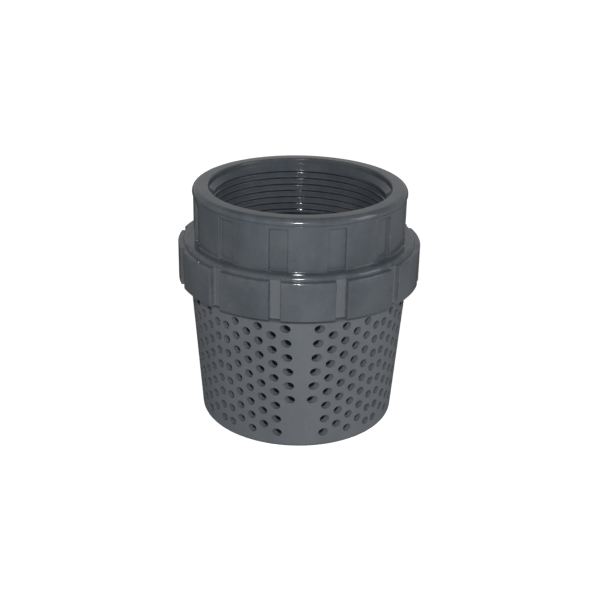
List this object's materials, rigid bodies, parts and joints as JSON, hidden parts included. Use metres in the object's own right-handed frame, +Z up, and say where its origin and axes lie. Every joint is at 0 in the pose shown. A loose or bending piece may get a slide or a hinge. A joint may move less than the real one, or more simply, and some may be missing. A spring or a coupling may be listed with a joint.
{
  "type": "foot valve",
  "caption": "Plastic foot valve: threaded socket, fluted clamp ring and tapered strainer basket, with a spring-loaded poppet check valve inside.",
  "frame": {"origin": "middle of the strainer basket's flat bottom, on the valve's axis", "axes": "+Z up along the axis of the pipe thread, towards the pipe; -Y is the front"},
  "size_m": [0.0804, 0.0804, 0.08],
  "materials": {
    "housing_pvc": "dark grey moulded PVC-U, semi-gloss",
    "basket_pvc": "grey moulded PVC-U, matt",
    "carrier_pvc": "dark grey moulded PVC-U, semi-gloss",
    "disc_pvc": "dark grey moulded PVC-U, semi-gloss",
    "epdm": "black moulded rubber",
    "acetal": "natural white acetal",
    "stainless": "turned and drawn stainless steel"
  },
  "bodies": {
    "body": {"housing": "housing_pvc", "strainer_basket": "basket_pvc", "seat_carrier": "carrier_pvc", "carrier_o_ring": "epdm", "guide_bush": "acetal", "return_spring": "stainless"},
    "poppet": {"valve_stem": "stainless", "valve_disc": "disc_pvc", "disc_seal": "epdm", "seal_clamp_plate": "stainless", "top_washer": "stainless", "top_nut": "stainless", "spring_cup": "stainless", "stem_nut": "stainless", "stem_lock_nut": "stainless"}
  },
  "joints": [
    {"name": "valve_lift", "type": "slide", "parent": "body", "child": "poppet", "axis": [0, 0, 1], "range_m": [0, 0.009], "stiffness_N_per_m": 600, "springref_m": -0.0033, "deforming": ["return_spring"]}
  ]
}
